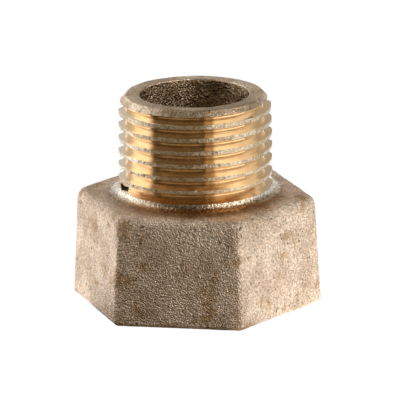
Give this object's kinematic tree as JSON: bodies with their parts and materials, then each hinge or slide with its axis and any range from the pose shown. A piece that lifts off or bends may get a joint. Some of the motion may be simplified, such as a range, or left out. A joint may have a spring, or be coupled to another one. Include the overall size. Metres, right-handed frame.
{
  "type": "reducing coupling",
  "caption": "Cast pipe reducer: a hexagonal female end with an internal parallel thread, stepping down to a smaller threaded male spigot on one axis.",
  "frame": {"origin": "centre of the female end's mouth, on the fitting's axis, in the plane of the mouth", "axes": "+Z along the axis towards the male end; one corner of the hexagon points along +X, so two flats face +Y and -Y"},
  "size_m": [0.0346, 0.03, 0.0291],
  "materials": {
    "cast_brass": "rough sand-cast skin, tumbled",
    "cut_brass": "bright, with fine turning marks"
  },
  "bodies": {
    "root": {"hex_body": "cast_brass", "mouth_rim": "cut_brass", "female_thread": "cut_brass", "shoulder": "cast_brass", "neck_collar": "cast_brass", "male_spigot": "cut_brass", "male_thread": "cut_brass", "spigot_nose": "cast_brass"}
  },
  "joints": []
}
